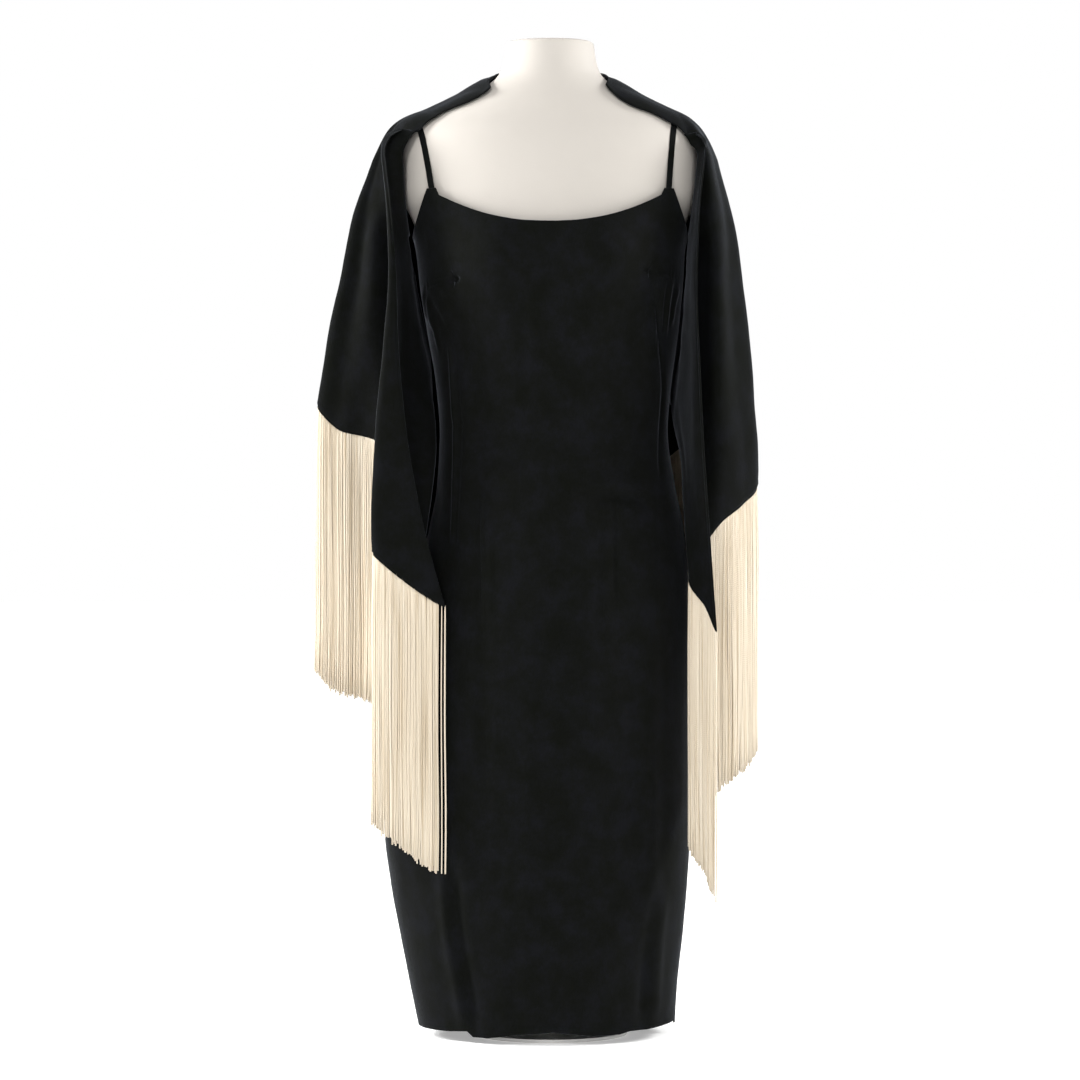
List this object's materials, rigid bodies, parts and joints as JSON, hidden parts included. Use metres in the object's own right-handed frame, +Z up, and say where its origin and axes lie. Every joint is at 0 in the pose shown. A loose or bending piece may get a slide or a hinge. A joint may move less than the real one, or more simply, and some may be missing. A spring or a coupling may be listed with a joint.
{
  "type": "cocktail dress with fringed shawl on a dress form",
  "caption": "Knee-length sheath cocktail dress with shoestring straps and a matching triangular shawl with long fringe, worn by a limbless dress form that stands on its own plate.",
  "frame": {"origin": "middle of the underside of the form's base plate, on the floor", "axes": "+Z up along the form's pole, the dress faces -Y, and +X is to the right of someone who looks at its front"},
  "size_m": [0.5132, 0.2891, 1.152],
  "materials": {
    "crepe": "matte black crepe with a fine grain",
    "fringe": "ivory rayon yarn with a soft sheen",
    "form_jersey": "smooth cream jersey, stretched",
    "stand_steel": "satin off-white paint",
    "zip_tape": "black woven tape"
  },
  "bodies": {
    "root": {"dress_front": "crepe", "dress_back_left": "crepe", "dress_back_right": "crepe", "strap_left": "crepe", "strap_right": "crepe", "back_zip": "zip_tape", "shawl": "crepe", "shawl_fringe_left": "fringe", "shawl_fringe_right": "fringe", "form_torso": "form_jersey", "form_pole": "stand_steel", "form_base": "stand_steel"}
  },
  "joints": []
}
